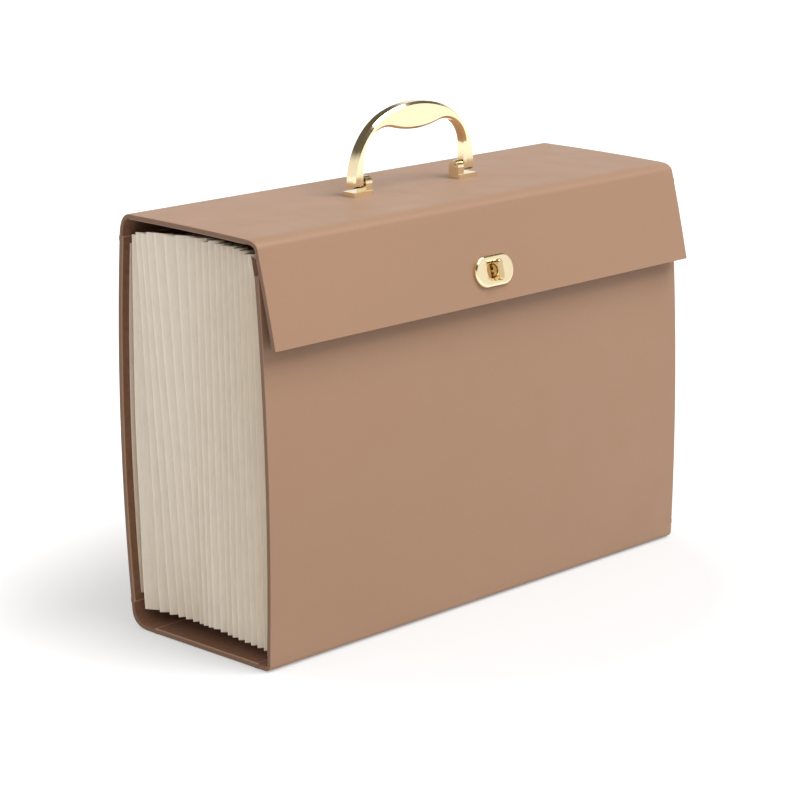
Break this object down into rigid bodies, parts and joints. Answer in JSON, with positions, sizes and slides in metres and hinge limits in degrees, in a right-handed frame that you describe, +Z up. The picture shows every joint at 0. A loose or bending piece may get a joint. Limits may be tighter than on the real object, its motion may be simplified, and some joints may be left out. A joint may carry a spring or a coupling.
{
  "type": "expanding file folder",
  "caption": "Expanding file case with a wrap cover, accordion pockets, a lid with a carrying handle and a flap with a turn lock",
  "frame": {"origin": "centre of the flat bottom face, on the table", "axes": "X across the width, Y across the pockets with the flap at -Y, Z up"},
  "size_m": [0.38, 0.1436, 0.3138],
  "materials": {
    "cover_material": "smooth satin",
    "board": "grey pressed board",
    "lining": "dark red brown",
    "pocket_paper": "matt cream",
    "gold_metal": "polished pale gold",
    "rivet_steel": "plain"
  },
  "bodies": {
    "base": {"cover_back": "cover_material", "board_back": "board", "lining_back": "lining", "cover_bottom": "cover_material", "board_bottom": "board", "lining_bottom": "lining", "fold_back_bottom": "cover_material", "fold_back_top": "cover_material", "fold_front_bottom": "cover_material", "back_leaf": "pocket_paper", "pocket_floor": "pocket_paper", "gusset_left": "pocket_paper", "gusset_right": "pocket_paper"},
    "front": {"cover_front": "cover_material", "board_front": "board", "lining_front": "lining", "front_leaf": "pocket_paper", "lock_base": "gold_metal", "lock_base_rivets": "rivet_steel"},
    "lid": {"cover_lid": "cover_material", "board_lid": "board", "lining_lid": "lining", "fold_flap": "cover_material", "handle_bracket_left": "gold_metal", "handle_bracket_right": "gold_metal", "handle_pins": "gold_metal", "bracket_rivets": "rivet_steel"},
    "flap": {"cover_flap": "cover_material", "board_flap": "board", "lining_flap": "lining", "lock_plate": "gold_metal", "lock_plate_rivets": "rivet_steel"},
    "handle": {"handle": "gold_metal"},
    "turn_knob": {"turn_knob": "gold_metal"},
    "divider_01": {"divider_01": "pocket_paper"},
    "divider_02": {"divider_02": "pocket_paper"},
    "divider_03": {"divider_03": "pocket_paper"},
    "divider_04": {"divider_04": "pocket_paper"},
    "divider_05": {"divider_05": "pocket_paper"},
    "divider_06": {"divider_06": "pocket_paper"},
    "divider_07": {"divider_07": "pocket_paper"},
    "divider_08": {"divider_08": "pocket_paper"},
    "divider_09": {"divider_09": "pocket_paper"},
    "divider_10": {"divider_10": "pocket_paper"},
    "divider_11": {"divider_11": "pocket_paper"},
    "divider_12": {"divider_12": "pocket_paper"},
    "divider_13": {"divider_13": "pocket_paper"},
    "divider_14": {"divider_14": "pocket_paper"},
    "divider_15": {"divider_15": "pocket_paper"},
    "divider_16": {"divider_16": "pocket_paper"},
    "divider_17": {"divider_17": "pocket_paper"},
    "divider_18": {"divider_18": "pocket_paper"}
  },
  "joints": [
    {"name": "lid_hinge", "type": "hinge", "parent": "base", "child": "lid", "pos_m": [0, 0.0677, 0.2544], "axis": [-1, 0, 0], "range_deg": [0, 178], "deforming": ["fold_back_top"]},
    {"name": "flap_hinge", "type": "hinge", "parent": "lid", "child": "flap", "pos_m": [0, -0.0475, 0.255], "axis": [-1, 0, 0], "range_deg": [0, 172], "deforming": ["fold_flap"]},
    {"name": "front_tilt", "type": "hinge", "parent": "base", "child": "front", "pos_m": [0, -0.0569, 0.0012], "axis": [1, 0, 0], "range_deg": [0, 20], "deforming": ["fold_front_bottom", "gusset_left", "gusset_right"]},
    {"name": "handle_swing", "type": "hinge", "parent": "lid", "child": "handle", "pos_m": [0, 0.00838, 0.26715], "axis": [1, 0, 0], "range_deg": [-92, 92]},
    {"name": "knob_turn", "type": "hinge", "parent": "front", "child": "turn_knob", "pos_m": [0, -0.06119, 0.21515], "axis": [0, -0.9727, 0.2322], "range_deg": [0, 90]},
    {"name": "divider_01_fan", "type": "hinge", "parent": "base", "child": "divider_01", "pos_m": [0, 0.05066, 0.0145], "axis": [1, 0, 0], "range_deg": [0, 2.03]},
    {"name": "divider_02_fan", "type": "hinge", "parent": "base", "child": "divider_02", "pos_m": [0, 0.04084, 0.0145], "axis": [1, 0, 0], "range_deg": [0, 3.7]},
    {"name": "divider_03_fan", "type": "hinge", "parent": "base", "child": "divider_03", "pos_m": [0, 0.03247, 0.0145], "axis": [1, 0, 0], "range_deg": [0, 5.13]},
    {"name": "divider_04_fan", "type": "hinge", "parent": "base", "child": "divider_04", "pos_m": [0, 0.02512, 0.0145], "axis": [1, 0, 0], "range_deg": [0, 6.39]},
    {"name": "divider_05_fan", "type": "hinge", "parent": "base", "child": "divider_05", "pos_m": [0, 0.01848, 0.0145], "axis": [1, 0, 0], "range_deg": [0, 7.52]},
    {"name": "divider_06_fan", "type": "hinge", "parent": "base", "child": "divider_06", "pos_m": [0, 0.01235, 0.0145], "axis": [1, 0, 0], "range_deg": [0, 8.57]},
    {"name": "divider_07_fan", "type": "hinge", "parent": "base", "child": "divider_07", "pos_m": [0, 0.00657, 0.0145], "axis": [1, 0, 0], "range_deg": [0, 9.56]},
    {"name": "divider_08_fan", "type": "hinge", "parent": "base", "child": "divider_08", "pos_m": [0, 0.00105, 0.0145], "axis": [1, 0, 0], "range_deg": [0, 10.5]},
    {"name": "divider_09_fan", "type": "hinge", "parent": "base", "child": "divider_09", "pos_m": [0, -0.0043, 0.0145], "axis": [1, 0, 0], "range_deg": [0, 11.41]},
    {"name": "divider_10_fan", "type": "hinge", "parent": "base", "child": "divider_10", "pos_m": [0, -0.00953, 0.0145], "axis": [1, 0, 0], "range_deg": [0, 12.31]},
    {"name": "divider_11_fan", "type": "hinge", "parent": "base", "child": "divider_11", "pos_m": [0, -0.01467, 0.0145], "axis": [1, 0, 0], "range_deg": [0, 13.18]},
    {"name": "divider_12_fan", "type": "hinge", "parent": "base", "child": "divider_12", "pos_m": [0, -0.01975, 0.0145], "axis": [1, 0, 0], "range_deg": [0, 14.05]},
    {"name": "divider_13_fan", "type": "hinge", "parent": "base", "child": "divider_13", "pos_m": [0, -0.02478, 0.0145], "axis": [1, 0, 0], "range_deg": [0, 14.91]},
    {"name": "divider_14_fan", "type": "hinge", "parent": "base", "child": "divider_14", "pos_m": [0, -0.02978, 0.0145], "axis": [1, 0, 0], "range_deg": [0, 15.77]},
    {"name": "divider_15_fan", "type": "hinge", "parent": "base", "child": "divider_15", "pos_m": [0, -0.03477, 0.0145], "axis": [1, 0, 0], "range_deg": [0, 16.62]},
    {"name": "divider_16_fan", "type": "hinge", "parent": "base", "child": "divider_16", "pos_m": [0, -0.03973, 0.0145], "axis": [1, 0, 0], "range_deg": [0, 17.47]},
    {"name": "divider_17_fan", "type": "hinge", "parent": "base", "child": "divider_17", "pos_m": [0, -0.04469, 0.0145], "axis": [1, 0, 0], "range_deg": [0, 18.31]},
    {"name": "divider_18_fan", "type": "hinge", "parent": "base", "child": "divider_18", "pos_m": [0, -0.04964, 0.0145], "axis": [1, 0, 0], "range_deg": [0, 19.16]}
  ],
  "couplings": [
    {"joint": "front_tilt", "follows": "lid_hinge", "ratio": 0.11236},
    {"joint": "divider_01_fan", "follows": "lid_hinge", "ratio": 0.01139},
    {"joint": "divider_02_fan", "follows": "lid_hinge", "ratio": 0.020809},
    {"joint": "divider_03_fan", "follows": "lid_hinge", "ratio": 0.02884},
    {"joint": "divider_04_fan", "follows": "lid_hinge", "ratio": 0.035895},
    {"joint": "divider_05_fan", "follows": "lid_hinge", "ratio": 0.042262},
    {"joint": "divider_06_fan", "follows": "lid_hinge", "ratio": 0.048145},
    {"joint": "divider_07_fan", "follows": "lid_hinge", "ratio": 0.053687},
    {"joint": "divider_08_fan", "follows": "lid_hinge", "ratio": 0.058989},
    {"joint": "divider_09_fan", "follows": "lid_hinge", "ratio": 0.064122},
    {"joint": "divider_10_fan", "follows": "lid_hinge", "ratio": 0.069136},
    {"joint": "divider_11_fan", "follows": "lid_hinge", "ratio": 0.074067},
    {"joint": "divider_12_fan", "follows": "lid_hinge", "ratio": 0.078938},
    {"joint": "divider_13_fan", "follows": "lid_hinge", "ratio": 0.083768},
    {"joint": "divider_14_fan", "follows": "lid_hinge", "ratio": 0.088568},
    {"joint": "divider_15_fan", "follows": "lid_hinge", "ratio": 0.093348},
    {"joint": "divider_16_fan", "follows": "lid_hinge", "ratio": 0.098113},
    {"joint": "divider_17_fan", "follows": "lid_hinge", "ratio": 0.10287},
    {"joint": "divider_18_fan", "follows": "lid_hinge", "ratio": 0.10762}
  ]
}
